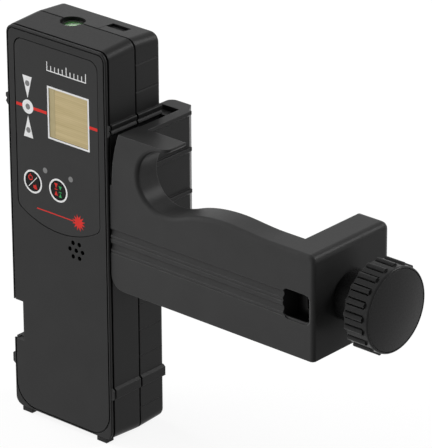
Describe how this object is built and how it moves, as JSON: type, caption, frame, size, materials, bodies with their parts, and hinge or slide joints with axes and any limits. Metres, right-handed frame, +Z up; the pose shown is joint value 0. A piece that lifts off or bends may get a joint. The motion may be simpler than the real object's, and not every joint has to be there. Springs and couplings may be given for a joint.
{
  "type": "line-laser detector with rod clamp",
  "caption": "Upright hand-held detector for a laser line, with sensor window, keys and bubble level, on a screw clamp with fixed and sliding jaws for a levelling rod.",
  "frame": {"origin": "centre of the flat tip of the middle rib on the fixed jaw, which the rod bears on", "axes": "+X from the fixed jaw along the clamp screw to the knob, +Y from the detector's front to its back, +Z up"},
  "size_m": [0.1765, 0.045, 0.1639],
  "materials": {
    "case_plastic": "fine grain, moulded",
    "cover_plastic": "satin, moulded",
    "overlay_film": "printed satin film",
    "window_filter": "tinted optical filter",
    "key_rubber": "soft silicone",
    "led_lens": "diffusing resin",
    "board_laminate": "solder mask",
    "component_plastic": "moulded",
    "photodiode_resin": "dark filter resin",
    "lead_insulation": "extruded",
    "screw_steel": "zinc plated",
    "brass": "turned",
    "clear_acrylic": "polished",
    "spirit_green": "clear liquid",
    "ferrite": "sintered ferrite",
    "bracket_plastic": "fine grain, moulded",
    "pad_rubber": "moulded",
    "knob_plastic": "satin, moulded",
    "battery_jacket": "printed steel jacket",
    "door_foam": "closed-cell foam"
  },
  "bodies": {
    "detector": {"front_cover": "cover_plastic", "front_shell": "case_plastic", "rear_shell": "case_plastic", "case_screws": "screw_steel", "graphic_overlay": "overlay_film", "sensor_window": "window_filter", "key_switches": "component_plastic", "main_board": "board_laminate", "board_screws": "screw_steel", "indicator_leds": "led_lens", "mode_leds": "led_lens", "photodiode_array": "photodiode_resin", "buzzer": "component_plastic", "controller_chip": "component_plastic", "lead_connector": "component_plastic", "battery_leads": "lead_insulation", "battery_snap": "component_plastic", "battery": "battery_jacket", "door_pin": "screw_steel", "level_vial": "clear_acrylic", "vial_spirit": "spirit_green", "top_magnet": "ferrite", "threaded_inserts": "brass", "clamp_bracket": "bracket_plastic", "bracket_screws": "screw_steel", "clamp_nut": "screw_steel"},
    "jaw": {"movable_jaw": "bracket_plastic", "jaw_pad": "pad_rubber", "thrust_washer": "screw_steel"},
    "screw": {"clamp_screw": "screw_steel", "retaining_clip": "screw_steel", "clamp_knob": "knob_plastic", "knob_cap": "knob_plastic"},
    "power_button": {"power_key": "key_rubber", "power_plunger": "component_plastic"},
    "mode_button": {"mode_key": "key_rubber", "mode_plunger": "component_plastic"},
    "door": {"battery_door": "case_plastic", "door_foam": "door_foam"}
  },
  "joints": [
    {"name": "jaw_slide", "type": "slide", "parent": "detector", "child": "jaw", "axis": [1, 0, 0], "range_m": [0, 0.0375]},
    {"name": "knob_turn", "type": "hinge", "parent": "jaw", "child": "screw", "pos_m": [0.1041, -0.0023, -0.0109], "axis": [1, 0, 0], "range_deg": [0, 5400]},
    {"name": "power_press", "type": "slide", "parent": "detector", "child": "power_button", "axis": [0, 1, 0], "range_m": [0, 0.0004], "stiffness_N_per_m": 2000},
    {"name": "mode_press", "type": "slide", "parent": "detector", "child": "mode_button", "axis": [0, 1, 0], "range_m": [0, 0.0004], "stiffness_N_per_m": 2000},
    {"name": "door_swing", "type": "hinge", "parent": "detector", "child": "door", "pos_m": [-0.0359, 0.0042, -0.0905], "axis": [-1, 0, 0], "range_deg": [0, 95]}
  ],
  "couplings": [
    {"joint": "knob_turn", "follows": "jaw_slide", "rad_per_m": 2513.3}
  ]
}
